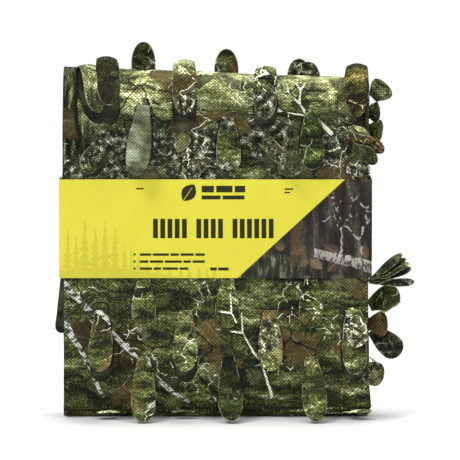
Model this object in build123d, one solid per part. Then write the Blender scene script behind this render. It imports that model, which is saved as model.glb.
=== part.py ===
"""Folded leaf-cut camouflage blind cloth, held in a pack by a printed card belly band.

The cloth is one sheet, 56 in x 12 ft, with rows of leaf-shaped tabs die-cut into it. It is folded once
across its height, pleated along its length into eleven panels, and the stack is folded in half over the
top. Each pleat is therefore a nested hairpin: a front leg, a roll over the top and a back leg. The card
band wraps the middle, and the leaf tabs spring out of the cloth wherever they are free.

Frame, in millimetres: +Z up, the printed face of the band looks along -Y, and the origin is the middle of
the surface that the pack stands on.
"""

from build123d import *
import math
import os

os.makedirs("parts", exist_ok=True)

# ---- The sheet and how it is folded -------------------------------------------------------------------
PLEATS = 11  # hairpins, outermost first
PACK_WIDTH = 322.0
HALF_WIDTH = PACK_WIDTH / 2
CREST = 370.0  # height of the fold over the top, at the left end
CREST_DROP = 12.0  # how much lower it lies at the right end
ROLL_RADIUS = 30.0
SHOULDER = CREST - ROLL_RADIUS  # height where the roll starts, at the left end
FOOT_RISE = 14.0  # the outer plies end higher, having had further to go round the roll
FOOT_CURVE = 1.5  # power by which that rise grows outwards
FLAT_SHARE = 0.5  # of the depth, whose plies all reach the base
PLY_GAP = 0.3  # air between neighbouring hairpins
END_STAGGER = 1.2  # mean distance by which the inner pleats' ends stand in
STAGGER_LEFT, STAGGER_RIGHT = 2.3, 1.7  # steps of the wave that varies it from pleat to pleat
OUTLINE_SAMPLES = 600  # along the front leg, to look its depth up at a height

# Half the depth of the pack at heights above its base: a swell below the band, and a waist at it.
FOOT_HALF = 25.5
HALF_DEPTHS = (
    (32, 32.0), (64, 35.0), (100, 32.6), (136, 28.2), (200, 26.6), (262, 27.6), (288, 28.6), (310, 29.6),
)

# ---- The sheet's free end, over the back --------------------------------------------------------------
END_GAP = 0.5  # between it and the outermost pleat
END_THICKNESS = 2.2
END_HEIGHTS = (66, 100, 136, 200, 262, 310)
END_SPAN = 360.0  # wider than its outline, which cuts it
END_REACH = 60.0  # deeper than the pack's back

# ---- The card band ------------------------------------------------------------------------------------
CARD = 0.6
BAND_LOW = 148.5
BAND_HIGH = 252.5
BAND_FRONT = -28.6  # inner face of the front card
BAND_BACK = 31.6  # inner face of the back card
BAND_SIDE = 163.4  # inner faces of the side cards
CREASE_GAP = 0.1
TAB_REACH = 26.0  # of the tab on the back card, along the left side
TAB_INSET = 2.0
FLAP_REACH = 48.0  # of the flap on the front card, over that tab
GLUE = 0.26
GLUE_CLEARANCE = 0.02
GLUE_RADIUS = 4.0
GLUE_SPOTS = 3

# ---- The die-cut leaves -------------------------------------------------------------------------------
LEAF_LENGTH = 74.0
LEAF_WIDTH = 26.0
LEAF_THICKNESS = 0.8
LEAF_OFF = 0.9  # from the cloth to a root's middle
EDGE_OFF = 0.6  # from the pack's right end to the leaves there
FOOT_LEAF_HEIGHT = 6.5  # of the leaf ends that show from under the front fold
TUFT_RISES = (37, 30, 24, 18, 1)  # angles above level of the tuft's leaves
# Half the width along the length, as a share of the full width: a blunt root and a round tip.
LEAF_OUTLINE = (
    (0.0, 0.25), (0.14, 0.33), (0.3, 0.41), (0.46, 0.475), (0.62, 0.5), (0.77, 0.455), (0.88, 0.35),
    (0.95, 0.23), (1.0, 0.06),
)
TWISTED_BY = 0.4  # share of the length over which a twisted leaf turns
CURVE_STEPS = 200  # along a leaf's middle line
COLUMN_PITCH = 88.0
FIRST_COLUMN = -120.0
LOW_ROW = 64.3  # height of the lowest row's roots
MIDDLE_ROW = 112.6
BAND_ROW = 146.0
HIGH_ROW = 329.0

columns_a = [FIRST_COLUMN + COLUMN_PITCH * i for i in range(4)]
columns_b = [x + COLUMN_PITCH / 2 for x in columns_a[:3]]

FORWARD, BACKWARD, RIGHT, UP, DOWN = (0, -1, 0), (0, 1, 0), (1, 0, 0), (0, 0, 1), (0, 0, -1)


def save(shape, name):
    """Writes one node."""
    export_step(shape, f"parts/{name}.step")


def block(low, high):
    """A box between two corners."""
    size = [h - l for l, h in zip(low, high)]
    middle = [(h + l) / 2 for l, h in zip(low, high)]
    return Pos(*middle) * Box(*size)


# ---- The folded cloth ---------------------------------------------------------------------------------
def hairpin_points(share, drop):
    """One line of the hairpin, from the front foot over the roll to the back foot, as (depth, height)."""
    foot = FOOT_RISE * max(0.0, (share - FLAT_SHARE) / (1 - FLAT_SHARE)) ** FOOT_CURVE
    leg = [(-FOOT_HALF * share, foot)]
    leg += [(-half * share, height) for height, half in HALF_DEPTHS]
    roll = []
    for angle in (-90, -45, 0, 45, 90):
        turn = math.radians(angle)
        radius = ROLL_RADIUS * share
        roll.append((radius * math.sin(turn), SHOULDER - drop + radius * math.cos(turn)))
    back = [(-depth, height) for depth, height in reversed(leg)]
    return leg + roll + back


def hairpin_face(outer_share, inner_share, drop, x):
    """The cross-section of one hairpin, at one place along the width. The innermost is pressed shut."""
    outer = hairpin_points(outer_share, drop)
    if inner_share:
        inner = hairpin_points(inner_share, drop)
        inside = [Line(outer[-1], inner[-1]), Spline(*reversed(inner)), Line(inner[0], outer[0])]
    else:
        inside = [Line(outer[-1], outer[0])]
    section = Plane(origin=(x, 0, 0), x_dir=(0, 1, 0), z_dir=(1, 0, 0))
    return section * make_face([Spline(*outer), *inside])


def hairpin(index):
    """One pleat of the cloth, folded in half over the top. Its ends stand a little in from the first's."""
    outer_share = 1 - index / PLEATS
    innermost = index == PLEATS - 1
    inner_share = None if innermost else outer_share - 1 / PLEATS + PLY_GAP / ROLL_RADIUS
    inset_left = END_STAGGER * (1 + math.sin(STAGGER_LEFT * index)) if index else 0
    inset_right = END_STAGGER * (1 + math.sin(STAGGER_RIGHT * index)) if index else 0
    left = hairpin_face(outer_share, inner_share, 0, inset_left - HALF_WIDTH)
    right = hairpin_face(outer_share, inner_share, CREST_DROP, HALF_WIDTH - inset_right)
    return loft([left, right], ruled=True)


for index in range(PLEATS):
    save(hairpin(index), f"cloth_fold_{index + 1:02d}")

front_leg = Spline(*hairpin_points(1, CREST_DROP / 2)).trim(0, 0.5)
front_samples = [front_leg @ (i / OUTLINE_SAMPLES) for i in range(OUTLINE_SAMPLES + 1)]


def half_depth(height):
    """Half the pack's depth at a height below the roll, read off the cloth's own outline."""
    return -min(front_samples, key=lambda p: abs(p.Y - height)).X


# The sheet's free end lies over the back, tucked under the band, and its lower left corner flares out.
end_inner = [(half_depth(h) + END_GAP, h) for h in END_HEIGHTS]
end_outer = [(y + END_THICKNESS, h) for y, h in end_inner]
end_profile = make_face(
    [
        Spline(*end_inner),
        Line(end_inner[-1], end_outer[-1]),
        Spline(*reversed(end_outer)),
        Line(end_outer[0], end_inner[0]),
    ]
)
end_start = Plane(origin=(-END_SPAN / 2, 0, 0), x_dir=(0, 1, 0), z_dir=(1, 0, 0))
end_slab = extrude(end_start * end_profile, END_SPAN)
end_outline = Polyline(
    (-162.6, 301), (-163.0, BAND_HIGH), (-163.0, BAND_LOW), (-165.5, 144), (-171.6, 92), (-170.6, 86),
    (-166, 83), (151, 80), (154, 303), close=True,
)
end_behind = Plane(origin=(0, END_REACH, 0), x_dir=(1, 0, 0), z_dir=(0, -1, 0))
save(end_slab & extrude(end_behind * make_face(end_outline), END_REACH), "cloth_loose_end")


# ---- The card band ------------------------------------------------------------------------------------
front_outer = BAND_FRONT - CARD
back_outer = BAND_BACK + CARD
right_outer = BAND_SIDE + CARD
tab_outer = -BAND_SIDE - CARD
flap_inner = tab_outer - GLUE - 2 * GLUE_CLEARANCE
flap_outer = flap_inner - CARD

save(
    block(
        (flap_outer + CREASE_GAP, front_outer, BAND_LOW),
        (right_outer - CREASE_GAP, BAND_FRONT, BAND_HIGH),
    ),
    "band_front",
)
save(
    block((BAND_SIDE, BAND_FRONT + CREASE_GAP, BAND_LOW), (right_outer, BAND_BACK - CREASE_GAP, BAND_HIGH)),
    "band_right_side",
)
save(block((tab_outer, BAND_BACK, BAND_LOW), (right_outer, back_outer, BAND_HIGH)), "band_back")
save(
    block(
        (tab_outer, BAND_BACK - TAB_REACH, BAND_LOW + TAB_INSET),
        (-BAND_SIDE, BAND_BACK - CREASE_GAP, BAND_HIGH - TAB_INSET),
    ),
    "band_glue_tab",
)
save(
    block((flap_outer, BAND_FRONT + CREASE_GAP, BAND_LOW), (flap_inner, BAND_FRONT + FLAP_REACH, BAND_HIGH)),
    "band_left_flap",
)
glue_depth = (BAND_BACK - TAB_REACH + BAND_FRONT + FLAP_REACH) / 2
glue_pitch = (BAND_HIGH - BAND_LOW) / GLUE_SPOTS
spots = []
for spot in range(GLUE_SPOTS):
    middle = (tab_outer - GLUE_CLEARANCE - GLUE / 2, glue_depth, BAND_LOW + glue_pitch * (spot + 0.5))
    spots.append(Pos(*middle) * Rot(0, 90, 0) * Cylinder(GLUE_RADIUS, GLUE))
save(Compound(spots), "band_glue_spots")


# ---- The leaves ---------------------------------------------------------------------------------------
def leaf(root, down, out, slant=0, lift=0, bend=0, length=LEAF_LENGTH, twist=0, bent_by=1.0):
    """A leaf tab rooted on a surface whose outward normal is out, with its hinge's place and axis.

    down is the way it would lie flat. slant turns it about out, lift raises it, bend curls it outwards
    within the share bent_by of its length, and twist turns it about its own length.
    """
    down, out = Vector(*down).normalized(), Vector(*out).normalized()
    along = down * math.cos(math.radians(slant)) + out.cross(down) * math.sin(math.radians(slant))
    side = out.cross(along)
    foot = Vector(*root) + out * LEAF_OFF

    def direction(share):
        return math.radians(lift + bend * min(share / bent_by, 1))

    places = [foot]
    for index in range(CURVE_STEPS):
        angle = direction((index + 0.5) / CURVE_STEPS)
        way = along * math.cos(angle) + out * math.sin(angle)
        places.append(places[-1] + way * (length / CURVE_STEPS))
    sections = []
    for share, half in LEAF_OUTLINE:
        angle = direction(share)
        turn = math.radians(twist * min(share / TWISTED_BY, 1))
        normal = out * math.cos(angle) - along * math.sin(angle)
        across = side * math.cos(turn) + normal * math.sin(turn)
        face_normal = normal * math.cos(turn) - side * math.sin(turn)
        place = places[round(share * CURVE_STEPS)]
        a, b = across * (half * LEAF_WIDTH), face_normal * (LEAF_THICKNESS / 2)
        corners = (place - a - b, place + a - b, place + a + b, place - a + b)
        sections.append(make_face(Polyline(*corners, close=True)))
    return loft(sections), foot, along.cross(out)


def front_leaf(x, height, **shape):
    """A leaf hanging down the front of the pack. Its root lies along the cloth's own slope."""
    slope = math.atan2(half_depth(height - 3) - half_depth(height + 3), 6)
    down = (0, -math.sin(slope), -math.cos(slope))
    out = (0, -math.cos(slope), math.sin(slope))
    return leaf((x, -half_depth(height), height), down, out, **shape)


def back_leaf(x, height, off, **shape):
    """A leaf hanging down the back of the pack, off being what lies between it and the cloth."""
    return leaf((x, half_depth(height) + off, height), DOWN, BACKWARD, **shape)


def roll_leaf(x, angle, **shape):
    """A leaf that comes over the roll. angle is its root's place, from the crest towards the front."""
    turn = math.radians(angle)
    shoulder = SHOULDER - CREST_DROP * (x + HALF_WIDTH) / PACK_WIDTH
    root = (x, -ROLL_RADIUS * math.sin(turn), shoulder + ROLL_RADIUS * math.cos(turn))
    out = (0, -math.sin(turn), math.cos(turn))
    down = (0, -math.cos(turn), -math.sin(turn))
    return leaf(root, down, out, **shape)


def crest_leaf(x, tip, off=0, **shape):
    """A leaf on the back of the roll that stands up past it, to a given height."""
    length = shape.get("length", LEAF_LENGTH)
    return leaf((x, ROLL_RADIUS + off, tip - length), UP, BACKWARD, **shape)


def side_leaf(depth, height, rise, **shape):
    """A leaf on the pack's right side, seen edge-on from the front. rise is its angle above level."""
    return leaf((HALF_WIDTH, depth, height), DOWN, RIGHT, lift=rise + 90, **shape)


def corner_leaf(x, depth, height, **shape):
    """A leaf that points right and shows its face to the front."""
    return leaf((x, depth, height), RIGHT, FORWARD, **shape)


def edge_leaf(depth, height, slant, **shape):
    """A leaf like that, out of the pack's right end. A slanted root stands off by what it leans."""
    lean = LEAF_WIDTH * LEAF_OUTLINE[0][1] * abs(math.sin(math.radians(slant)))
    return corner_leaf(HALF_WIDTH + EDGE_OFF + lean, depth, height, slant=slant, **shape)


tuft = [
    side_leaf(2.5 * i - 6, 144.2 - i, rise, bend=4 - i, length=44 + i)
    for i, rise in enumerate(TUFT_RISES)
]

# name: (its blades, the first of which has the rearmost root and carries the hinge, and its lowest and
# highest angle from rest)
free_leaves = {
    "leaf_low_1": ([front_leaf(columns_b[0], LOW_ROW, lift=24, bend=16)], (-15, 45)),
    "leaf_low_2": ([front_leaf(columns_b[1] + 1, LOW_ROW, slant=3, lift=27, bend=12)], (-15, 45)),
    "leaf_low_3": ([front_leaf(columns_b[2], LOW_ROW, slant=5, lift=25, bend=16)], (-15, 45)),
    "leaf_middle_1": ([front_leaf(columns_a[0], MIDDLE_ROW, slant=-1, lift=28, bend=8, twist=8)], (-15, 45)),
    "leaf_middle_2": ([front_leaf(columns_a[1], MIDDLE_ROW, lift=26, bend=12)], (-15, 45)),
    "leaf_middle_3": ([front_leaf(columns_a[2], MIDDLE_ROW, slant=2, lift=3, bend=4, length=62)], (-2, 60)),
    "leaf_middle_4": (
        [
            front_leaf(columns_a[3] + 1, MIDDLE_ROW + 3, slant=2, lift=40, bend=-10, length=50),
            front_leaf(columns_a[3] - 1, MIDDLE_ROW, slant=3, lift=22, bend=10),
        ],
        (-6, 40),
    ),
    "leaf_high_1": ([front_leaf(columns_b[0], HIGH_ROW, slant=-6, lift=7, bend=10)], (-4, 60)),
    "leaf_high_2": ([front_leaf(columns_b[1], HIGH_ROW - 12, slant=2, lift=4, bend=4, length=58)], (-2, 60)),
    "leaf_high_3": ([front_leaf(columns_b[2], HIGH_ROW - 6, slant=1, lift=6, bend=8, length=60)], (-2, 60)),
    "leaf_roll_1": (
        [
            roll_leaf(-118, -8, slant=8, lift=50, bend=-122, length=82, bent_by=0.52),
            roll_leaf(-140, 12, slant=22, lift=36, bend=-106, length=72, twist=-8, bent_by=0.6),
        ],
        (-1, 30),
    ),
    "leaf_roll_2": ([roll_leaf(columns_a[1] - 1, 2, lift=62, bend=-144, length=84, bent_by=0.55)], (-3, 45)),
    "leaf_roll_3": (
        [roll_leaf(columns_a[2] - 2, 4, slant=-4, lift=52, bend=-132, length=80, bent_by=0.55)],
        (-3, 45),
    ),
    "leaf_roll_4": (
        [
            roll_leaf(columns_a[3] + 5, 0, slant=-3, lift=68, bend=-148, length=85, bent_by=0.57),
            roll_leaf(columns_a[3] - 5, 20, slant=3, lift=14, bend=-80, length=57, bent_by=0.55),
        ],
        (0, 30),
    ),
    "leaf_crest_1": ([crest_leaf(columns_b[0] - 1, 394, lift=3, bend=-4)], (-1, 50)),
    "leaf_crest_2": ([crest_leaf(columns_b[1] - 1, 386.5, lift=3, bend=-2)], (-1, 50)),
    "leaf_crest_3": (
        [
            crest_leaf(98, 373, lift=2, bend=-2, length=68),
            crest_leaf(88, 376, off=1.6, lift=3, bend=-2, length=68),
        ],
        (-1, 50),
    ),
    "leaf_inner": ([front_leaf(50, 294, slant=50, lift=46, bend=-8, length=40, twist=46)], (-3, 30)),
    "leaf_side_high": ([edge_leaf(-8, 338, 46, lift=4, bend=-6, length=19)], (-15, 15)),
    "leaf_side_tuft": (tuft, (-2, 20)),
    "leaf_side_low": ([side_leaf(-6, 103, 26, bend=6, length=38)], (-10, 8)),
    "leaf_corner_high": (
        [
            corner_leaf(138, -half_depth(295), 295, slant=-10, lift=42, bend=-10, length=48, twist=46),
            corner_leaf(140, -half_depth(303), 302, slant=-9, lift=38, bend=-8, length=25, twist=44),
            corner_leaf(139, -half_depth(284), 284, slant=-14, lift=38, bend=-12, length=37, twist=42),
        ],
        (-2, 15),
    ),
    "leaf_edge_upper": ([edge_leaf(20, 115, 26, lift=-2, bend=-4, length=33)], (-3, 8)),
    "leaf_edge_middle": ([edge_leaf(-22, 99, 4, lift=8, bend=-14, length=19)], (-3, 20)),
    "leaf_edge_low": ([edge_leaf(-14, 91, -40, lift=6, bend=8, length=38)], (-3, 7)),
    "leaf_edge_curl": ([corner_leaf(152, -37.4, 52, slant=-12, lift=30, bend=-36, length=26)], (-3, 30)),
}

for name, (blades, limits) in free_leaves.items():
    save(blades[0][0] if len(blades) == 1 else Compound([blade[0] for blade in blades]), name)
    place = [round(v / 1000, 6) + 0.0 for v in blades[0][1]]
    axis = [round(v, 6) + 0.0 for v in blades[0][2]]
    print("HINGE", name, place, axis, list(limits))

# ---- Leaves that are held still -----------------------------------------------------------------------
under_row = [(x, 212) for x in columns_b] + [(x + 18, 246) for x in columns_a[:3]]
under_band = [leaf((x, -half_depth(200) - 0.2, z), DOWN, FORWARD, length=60)[0] for x, z in under_row]
save(Compound(under_band), "leaves_under_band")

below_band = [front_leaf(x, BAND_ROW, lift=2, bend=1, length=50)[0] for x in columns_b]
save(Compound(below_band), "leaves_below_band")

above_band = [
    front_leaf(-120, 291, slant=-34, lift=34, bend=-14, length=38, twist=-38)[0],
    front_leaf(columns_a[1] + 8, 285, slant=4, lift=2, length=28)[0],
    front_leaf(columns_a[2] + 22, 281, lift=3, length=25)[0],
    front_leaf(columns_a[3] + 6, 275, slant=-3, lift=1, length=20)[0],
]
save(Compound(above_band), "leaves_above_band")

END_OFF = END_GAP + END_THICKNESS
on_back = [back_leaf(x, 330, 0.6, lift=7, bend=6)[0] for x in (-118, -34, 56, 138)]
on_back += [back_leaf(x, BAND_ROW - 2, END_OFF + 0.6, lift=5, bend=6)[0] for x in columns_b]
on_back += [back_leaf(x, 77, 1.2, lift=18, bend=14, length=70)[0] for x in columns_a[:4]]
save(Compound(on_back), "leaves_on_back")

# Short ends of leaves that show from under the front fold and past the right end.
at_edges = [
    leaf((-117, -27.5, FOOT_LEAF_HEIGHT), (0.3, -1, 0), UP, bend=6, length=20)[0],
    leaf((-34, -26.5, FOOT_LEAF_HEIGHT), FORWARD, UP, bend=4, length=14)[0],
    leaf((140, -29, FOOT_LEAF_HEIGHT), (0.75, -0.65, 0), UP, bend=8, length=26)[0],
    edge_leaf(2, 321, 4, lift=4, length=11, twist=-40)[0],
    edge_leaf(8, 302, -6, lift=6, length=14, twist=-20)[0],
    side_leaf(-2, 62, -38, bend=-24, length=14)[0],
]
save(Compound(at_edges), "leaves_at_edges")
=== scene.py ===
"""The looks of a folded, leaf-cut camouflage blind cloth in a printed card belly band.

Everything is in metres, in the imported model's frame: +Z up, the band's printed face looks along -Y.

The cloth is a real sheet here: two plies pleated into eleven panels and folded in half over the top. Its
outermost ply has leaf-shaped holes where tabs were cut from it, and its free end at the back is two plies of
their own. Each tab is a thin curled sheet on the body that the frame gives it.
"""

import math

import bmesh
import bpy
import numpy as np
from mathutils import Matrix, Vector
from mathutils.geometry import delaunay_2d_cdt


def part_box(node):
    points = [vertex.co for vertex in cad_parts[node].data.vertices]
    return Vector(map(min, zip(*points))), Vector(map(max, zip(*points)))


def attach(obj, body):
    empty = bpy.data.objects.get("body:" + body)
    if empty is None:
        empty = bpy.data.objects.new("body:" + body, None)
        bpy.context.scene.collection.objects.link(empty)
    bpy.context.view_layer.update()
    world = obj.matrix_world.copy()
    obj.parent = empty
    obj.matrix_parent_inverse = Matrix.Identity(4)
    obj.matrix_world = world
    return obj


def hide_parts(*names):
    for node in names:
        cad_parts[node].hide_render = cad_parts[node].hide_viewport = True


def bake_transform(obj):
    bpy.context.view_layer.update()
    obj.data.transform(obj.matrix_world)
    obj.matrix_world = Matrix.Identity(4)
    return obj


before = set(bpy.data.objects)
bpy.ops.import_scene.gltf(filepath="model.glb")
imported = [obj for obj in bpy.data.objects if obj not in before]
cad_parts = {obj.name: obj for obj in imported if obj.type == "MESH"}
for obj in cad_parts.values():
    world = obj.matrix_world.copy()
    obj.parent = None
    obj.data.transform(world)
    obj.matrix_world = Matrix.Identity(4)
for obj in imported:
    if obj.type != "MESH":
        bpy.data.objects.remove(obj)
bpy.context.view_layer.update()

MM = 0.001
FORWARD, BACKWARD = np.array((0.0, -1, 0)), np.array((0.0, 1, 0))
RIGHT = np.array((1.0, 0, 0))
UP, DOWN = np.array((0.0, 0, 1)), np.array((0.0, 0, -1))

# ---- The folded pack, as the CAD model has it ---------------------------------------------------------
_, outer_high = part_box("cloth_fold_01")
band_low, band_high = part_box("band_front")
HALF_WIDTH = outer_high.x
CREST = outer_high.z
CREST_DROP = 12 * MM
ROLL_RADIUS = 30 * MM
SHOULDER = CREST - ROLL_RADIUS
FOOT_RISE = 14 * MM
FLAT_SHARE = 0.5
PLEATS = 11
PLIES = 2 * PLEATS
END_STAGGER = 1.2 * MM
CLOTH = 0.42 * MM  # thickness
SWELL = 0.7 * MM
END_WAVE = 0.006  # share of the width that the ends wave by
SWAY = 1.6 * MM  # of the innermost plies, to and fro
LUMPS = 4.0 * MM  # that the crumpled lower right corner stands out by
OUTER_SHARE = 0.985  # the outermost ply's share of the depth
PLY_PITCH = 0.94 / (PLIES - 1)  # the step inwards to each next ply
FOOT_OFF = 1.0 * MM  # from the base to the plies' folded edge
FOOT_HALF = 25.5
HALF_DEPTHS = (
    (32, 32.0), (64, 35.0), (100, 32.6), (136, 28.2), (200, 26.6), (262, 27.6), (288, 28.6), (310, 29.6),
)
ROLL_ANGLES = (-90, -45, 0, 45, 90)

# ---- The die-cut leaves -------------------------------------------------------------------------------
LEAF_LENGTH, LEAF_WIDTH = 74, 26
LEAF_OFF = 0.9 * MM
LEAF_OUTLINE = (
    (0.0, 0.25), (0.14, 0.33), (0.3, 0.41), (0.46, 0.475), (0.62, 0.5), (0.77, 0.455), (0.88, 0.35),
    (0.95, 0.23), (1.0, 0.0),
)
WIDEST_AT, WIDEST_HALF = 0.62, 0.49  # shares of a leaf's length and of its width
TIP_ROUNDNESS = 2.6
TWISTED_BY = 0.4  # share of its length that a leaf's twist takes
COLUMN_PITCH, FIRST_COLUMN = 88, -120
LOW_ROW, MIDDLE_ROW, BAND_ROW, HIGH_ROW = 64.3, 112.6, 146, 329
columns_a = [FIRST_COLUMN + COLUMN_PITCH * i for i in range(4)]
columns_b = [x + COLUMN_PITCH / 2 for x in columns_a[:3]]


def smooth(low, high, value):
    """0 below low, 1 above high, and a smooth step between them."""
    t = np.clip((value - low) / (high - low), 0, 1)
    return t * t * (3 - 2 * t)


# ---- The path of a ply: from the front foot, over the roll, to the back foot --------------------------
leg = np.array([(-FOOT_HALF, 0.0)] + [(-half, height) for height, half in HALF_DEPTHS]) * MM
roll = np.radians(ROLL_ANGLES)
KNOT_Y = np.concatenate([leg[:, 0], ROLL_RADIUS * np.sin(roll), -leg[::-1, 0]])
KNOT_Z = np.concatenate([leg[:, 1], np.full(len(roll), SHOULDER), leg[::-1, 1]])
ON_ROLL = np.concatenate([0 * leg[:, 0], np.ones(len(roll)), 0 * leg[:, 0]])
ROLL_LIFT = np.concatenate([0 * leg[:, 0], ROLL_RADIUS * np.cos(roll), 0 * leg[:, 0]])
AT_FOOT = np.zeros(len(KNOT_Y))
AT_FOOT[[0, -1]] = 1


def knots():
    """How far along the outermost ply each of its knots lies."""
    z = KNOT_Z + ROLL_LIFT + AT_FOOT * FOOT_RISE
    chord = np.hypot(np.diff(KNOT_Y), np.diff(z))
    chord[len(leg) : len(leg) + len(roll) - 1] *= (math.pi / 4) / (2 * math.sin(math.pi / 8))
    return np.concatenate([[0], np.cumsum(chord)])


KNOTS = knots()
PATH = KNOTS[-1]
CREST_PATH = PATH / 2


def spline(at, values):
    """A natural cubic spline through values at the knots, read at the places given."""
    n = len(KNOTS)
    step = np.diff(KNOTS)
    a = np.zeros((n, n))
    b = np.zeros(n)
    a[0, 0] = a[-1, -1] = 1
    for i in range(1, n - 1):
        a[i, i - 1 : i + 2] = step[i - 1], 2 * (step[i - 1] + step[i]), step[i]
        b[i] = 6 * ((values[i + 1] - values[i]) / step[i] - (values[i] - values[i - 1]) / step[i - 1])
    bend = np.linalg.solve(a, b)
    i = np.clip(np.searchsorted(KNOTS, at) - 1, 0, n - 2)
    low, high, h = at - KNOTS[i], KNOTS[i + 1] - at, step[i]
    ends = (values[i] / h - bend[i] * h / 6) * high + (values[i + 1] / h - bend[i + 1] * h / 6) * low
    return ends + (bend[i] * high**3 + bend[i + 1] * low**3) / (6 * h)


SAMPLES = np.linspace(0, PATH, 1501)
SAMPLED = [spline(SAMPLES, values) for values in (KNOT_Y, KNOT_Z, ON_ROLL, ROLL_LIFT, AT_FOOT)]


def ply(x, share, path):
    """(depth, height) on a ply that is share of the way out from the middle, path metres along it."""
    y, z, on_roll, lift, foot = (np.interp(path, SAMPLES, values) for values in SAMPLED)
    drop = CREST_DROP * (x + HALF_WIDTH) / (2 * HALF_WIDTH)
    rise = FOOT_RISE * np.maximum(0, (share - FLAT_SHARE) / (1 - FLAT_SHARE)) ** 1.5
    return y * share, z - on_roll * drop + lift * share + foot * rise


def swell(x, path):
    """How far the loose cloth stands proud or sinks, away from the band: soft creases and hollows."""
    _, height = ply(x, 1.0, path)
    free = smooth(band_high.z + 1 * MM, band_high.z + 30 * MM, height)
    free = free + smooth(-band_low.z + 1 * MM, -band_low.z + 30 * MM, -height)
    edge_gap = np.maximum(height - band_high.z, band_low.z - height)
    puckers = np.sin(x * 95 + 3 * np.sin(x * 31)) * np.exp(-np.abs(edge_gap - 12 * MM) / (14 * MM))
    waves = np.sin(x * 23 + path * 31 + 1.3) * np.sin(path * 47 - x * 9 + 0.4)
    waves = waves + 0.6 * np.sin(x * 51 - path * 17 + 2.1) * np.sin(path * 71 + x * 13)
    waves = waves + 0.35 * np.sin(x * 87 + path * 63) * np.sin(x * 41 - path * 117 + 0.7)
    return free * SWELL * (waves + 0.4 * puckers)


def surface(x, share, path):
    """Points of the swollen cloth, whose ends are a little uneven."""
    y, z = ply(x, share, path)
    ahead_y, ahead_z = ply(x, share, path + 0.5 * MM)
    back_y, back_z = ply(x, share, path - 0.5 * MM)
    along_y, along_z = ahead_y - back_y, ahead_z - back_z
    size = np.maximum(np.hypot(along_y, along_z), 1e-9)
    out = swell(x, path) * share
    across = x * (1 - END_WAVE * (1 + np.sin(path * 41 + share * 23)) / 2)
    corner = smooth(0.120, 0.160, x) * (1 - smooth(0.030, 0.046, z)) * smooth(0.0, 0.008, z)
    across = across + LUMPS * corner * (0.55 + 0.45 * np.sin(z * 330 + share * 5))
    y = y + SWAY * (1 - share) * np.sin(x * 52 + z * 19)
    return np.stack([across + 0 * y, y - along_z / size * out, z + along_y / size * out], -1)


front_y, front_z = ply(0.0, 1.0, SAMPLES[: len(SAMPLES) // 2])


def path_at(height):
    """How far along the outermost ply the front leg is at a height, which is in metres."""
    return float(np.interp(height, front_z, SAMPLES[: len(SAMPLES) // 2]))


def half_depth(height):
    """Half the pack's depth at a height, both in millimetres."""
    return -float(np.interp(height * MM, front_z, front_y)) / MM


# ---- Meshes -------------------------------------------------------------------------------------------
def mesh_object(name, points, faces, print_uv, smooth_faces=True):
    """An object from points, faces and a place on the printed cloth for each point."""
    mesh = bpy.data.meshes.new(name)
    mesh.from_pydata([tuple(p) for p in points], [], [tuple(int(i) for i in f) for f in faces])
    layer = mesh.uv_layers.new(name="print")
    corners = np.empty(len(mesh.loops), np.int32)
    mesh.loops.foreach_get("vertex_index", corners)
    layer.data.foreach_set("uv", np.asarray(print_uv, np.float32)[corners].ravel())
    if smooth_faces:
        mesh.polygons.foreach_set("use_smooth", [True] * len(mesh.polygons))
    mesh.update()
    piece = bpy.data.objects.new(name, mesh)
    bpy.context.scene.collection.objects.link(piece)
    return piece


def grid_faces(rows, columns, start=0):
    """Quads of a grid of points stored row by row."""
    index = start + np.arange(rows * columns).reshape(rows, columns)
    return np.stack([index[:-1, :-1], index[:-1, 1:], index[1:, 1:], index[1:, :-1]], -1).reshape(-1, 4)


def thicken(piece):
    """Gives a sheet its thickness, half to each side."""
    solid = piece.modifiers.new("thickness", "SOLIDIFY")
    solid.thickness = CLOTH
    solid.offset = 0


def triangulate(points, edges, kind=0):
    """A flat triangulation that keeps the edges given, as (its points, its triangles)."""
    flat, _, triangles, *_ = delaunay_2d_cdt(points, edges, [], kind, 1e-7)
    return np.array([tuple(p) for p in flat]), np.array([tuple(t) for t in triangles])


def face_normals(points, faces):
    """The direction that each face looks in. Quads count by three of their corners."""
    first = points[faces[:, 0]]
    return np.cross(points[faces[:, 1]] - first, points[faces[:, -1]] - first)


# ---- Leaves -------------------------------------------------------------------------------------------
# For each leaf cut from the outer ply: x, path of the root, length, way its tip points along the path, slant.
slots = []
outline_share = np.array([p[0] for p in LEAF_OUTLINE])
outline_half = np.array([p[1] for p in LEAF_OUTLINE])


def leaf_half_width(share):
    """Half a leaf's width, as a share of the full one: blunt root, widest past the middle, round tip."""
    share = np.asarray(share, float)
    body = np.zeros_like(share)
    for shift in (-0.05, 0.0, 0.05):
        body = body + np.interp(share + shift, outline_share[:-3], outline_half[:-3]) / 3
    towards_tip = np.maximum(share - WIDEST_AT, 0) / (1 - WIDEST_AT)
    tip = 0.5 * np.sqrt(np.clip(1 - towards_tip**TIP_ROUNDNESS, 0, 1))
    return np.minimum(np.where(share > WIDEST_AT, tip, body), WIDEST_HALF)


def leaf(
    root, down, out, slant=0, lift=0, bend=0, length=LEAF_LENGTH, twist=0, bent_by=1.0, cut=None, way=-1
):
    """A leaf tab's settings, as in the CAD model.

    cut is its place on the cloth, and way its tip's direction there.
    """
    if cut:
        slots.append((*cut, length * MM, way, slant))
    return dict(
        root=np.array(root, float) * MM, down=np.array(down, float), out=np.array(out, float),
        slant=math.radians(slant), lift=lift, bend=bend, length=length * MM, twist=twist, bent_by=bent_by,
        cut=cut, way=way,
    )


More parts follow.
